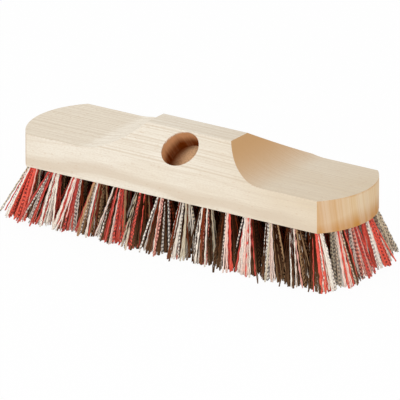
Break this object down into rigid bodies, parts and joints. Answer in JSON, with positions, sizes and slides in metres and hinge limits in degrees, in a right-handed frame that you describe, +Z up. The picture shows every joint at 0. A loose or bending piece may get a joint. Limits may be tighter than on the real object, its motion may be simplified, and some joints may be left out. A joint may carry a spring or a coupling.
{
  "type": "scrub brush",
  "caption": "Scrub brush head: a scooped wooden block with a slanted blind socket for a broom handle, and rows of flared mixed-colour bristle tufts trimmed flat below.",
  "frame": {"origin": "centre of the part's footprint, on the plane of the trimmed bristle tips", "axes": "+X along the block, +Z up out of the crown, -Y towards the side that the handle leans to"},
  "size_m": [0.2342, 0.0784, 0.069],
  "materials": {
    "wood": "raw sanded pale hardwood",
    "bristle_cream": "satin crimped filament",
    "bristle_red": "satin crimped filament",
    "bristle_brown": "satin crimped filament",
    "anchor_steel": "drawn flat wire"
  },
  "bodies": {
    "root": {"wood_block": "wood", "front_row_cream_bristles": "bristle_cream", "front_row_red_bristles": "bristle_red", "front_row_brown_bristles": "bristle_brown", "front_row_anchors": "anchor_steel", "front_inner_row_cream_bristles": "bristle_cream", "front_inner_row_red_bristles": "bristle_red", "front_inner_row_brown_bristles": "bristle_brown", "front_inner_row_anchors": "anchor_steel", "centre_row_cream_bristles": "bristle_cream", "centre_row_red_bristles": "bristle_red", "centre_row_brown_bristles": "bristle_brown", "centre_row_anchors": "anchor_steel", "back_inner_row_cream_bristles": "bristle_cream", "back_inner_row_red_bristles": "bristle_red", "back_inner_row_brown_bristles": "bristle_brown", "back_inner_row_anchors": "anchor_steel", "back_row_cream_bristles": "bristle_cream", "back_row_red_bristles": "bristle_red", "back_row_brown_bristles": "bristle_brown", "back_row_anchors": "anchor_steel"}
  },
  "joints": []
}
